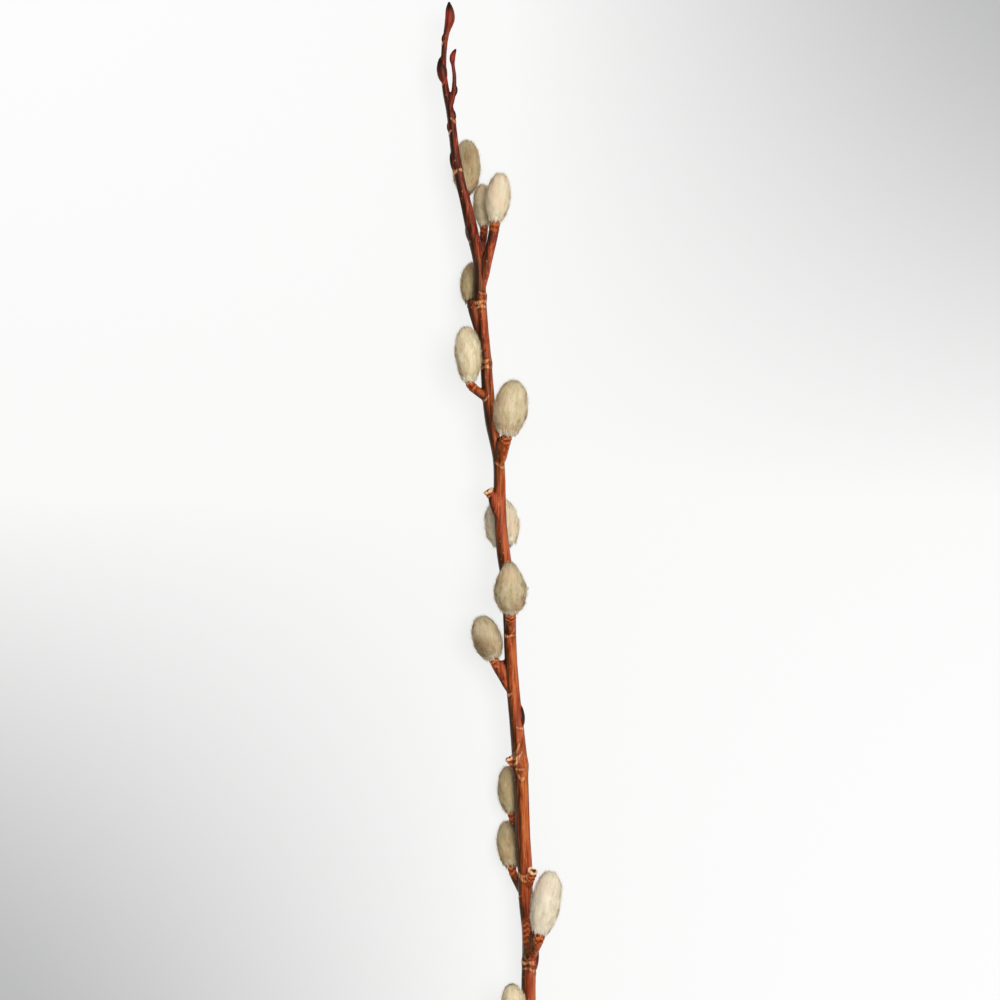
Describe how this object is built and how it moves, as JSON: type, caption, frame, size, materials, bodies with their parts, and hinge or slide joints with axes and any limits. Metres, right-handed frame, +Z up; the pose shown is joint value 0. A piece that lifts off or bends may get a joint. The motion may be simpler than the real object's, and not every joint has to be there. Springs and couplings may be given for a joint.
{
  "type": "pussy willow branch",
  "caption": "Cut pussy willow branch lying down: a slender knotty stem with a side twig, buds and scars, and furry oval catkins on short spurs along it.",
  "frame": {"origin": "on the surface that the branch lies on, under the middle of the branch's outline", "axes": "+Y along the branch from the cut end to the tip, +Z up from the surface, +X to the right seen from above"},
  "size_m": [0.0556, 0.5984, 0.0355],
  "materials": {
    "bark": "smooth red-brown young willow bark, satin gloss",
    "catkin_fur": "dense silky cream hair, matt with a soft sheen"
  },
  "bodies": {
    "root": {"stem": "bark", "catkin_01": "catkin_fur", "catkin_02": "catkin_fur", "catkin_03": "catkin_fur", "catkin_04": "catkin_fur", "catkin_05": "catkin_fur", "catkin_06": "catkin_fur", "catkin_07": "catkin_fur", "catkin_08": "catkin_fur", "catkin_09": "catkin_fur", "catkin_10": "catkin_fur", "catkin_11": "catkin_fur", "catkin_12": "catkin_fur", "catkin_13": "catkin_fur", "catkin_14": "catkin_fur", "catkin_15": "catkin_fur"}
  },
  "joints": []
}
